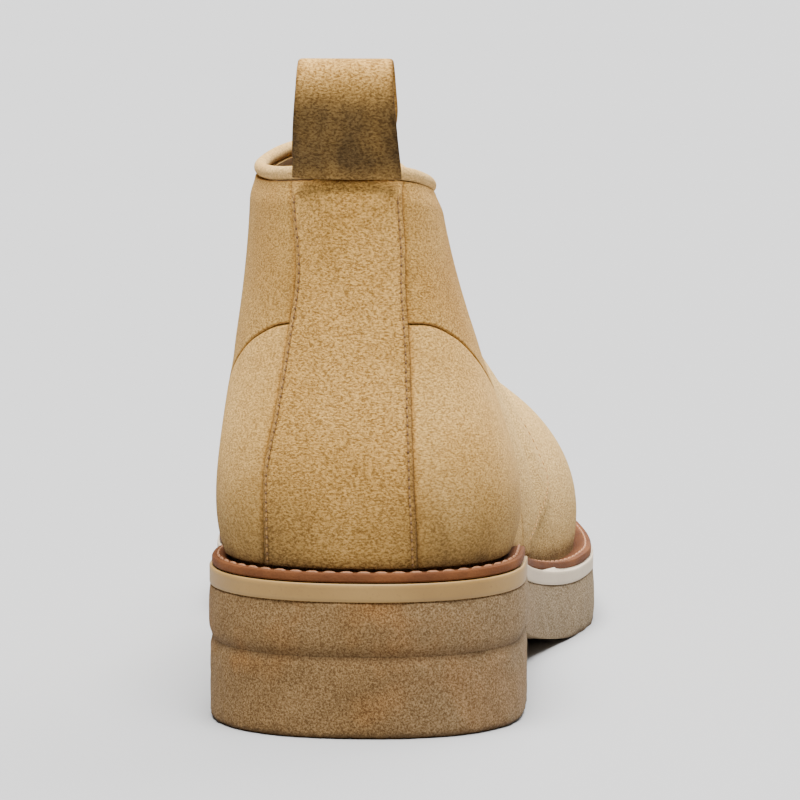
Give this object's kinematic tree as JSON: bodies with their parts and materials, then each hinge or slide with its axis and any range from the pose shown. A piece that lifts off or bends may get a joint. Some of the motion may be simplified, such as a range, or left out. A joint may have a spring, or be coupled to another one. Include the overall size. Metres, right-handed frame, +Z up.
{
  "type": "chukka boot",
  "caption": "Ankle-high laced boot for the right foot, with a hollow suede upper on a layered crepe sole and heel.",
  "frame": {"origin": "on the floor under the middle of the heel, at the centre of the heel's flat tread", "axes": "+Y from heel to toe, +X towards the outer side of the right foot, +Z up"},
  "size_m": [0.1071, 0.302, 0.163],
  "materials": {
    "suede": "soft napped suede",
    "rim": "rolled leather edge, lightly napped",
    "crepe": "grained crepe rubber",
    "cream": "smooth cream strip",
    "welt": "waxed brown leather",
    "lining": "plain lining leather",
    "eyelet": "darkened brass",
    "lace": "woven cord"
  },
  "bodies": {
    "root": {"heel": "crepe", "outsole": "crepe", "midsole": "cream", "welt": "welt", "insole": "lining", "upper": "suede", "backstay": "suede", "counter_medial": "suede", "counter_lateral": "suede", "quarter_medial": "suede", "quarter_lateral": "suede", "collar_rim": "rim", "tongue": "suede", "eyelet_medial_1": "eyelet", "eyelet_medial_2": "eyelet", "eyelet_medial_3": "eyelet", "eyelet_lateral_1": "eyelet", "eyelet_lateral_2": "eyelet", "eyelet_lateral_3": "eyelet", "lace_bar_1": "lace", "lace_bar_2": "lace", "lace_bar_3": "lace", "pull_loop": "suede"}
  },
  "joints": []
}
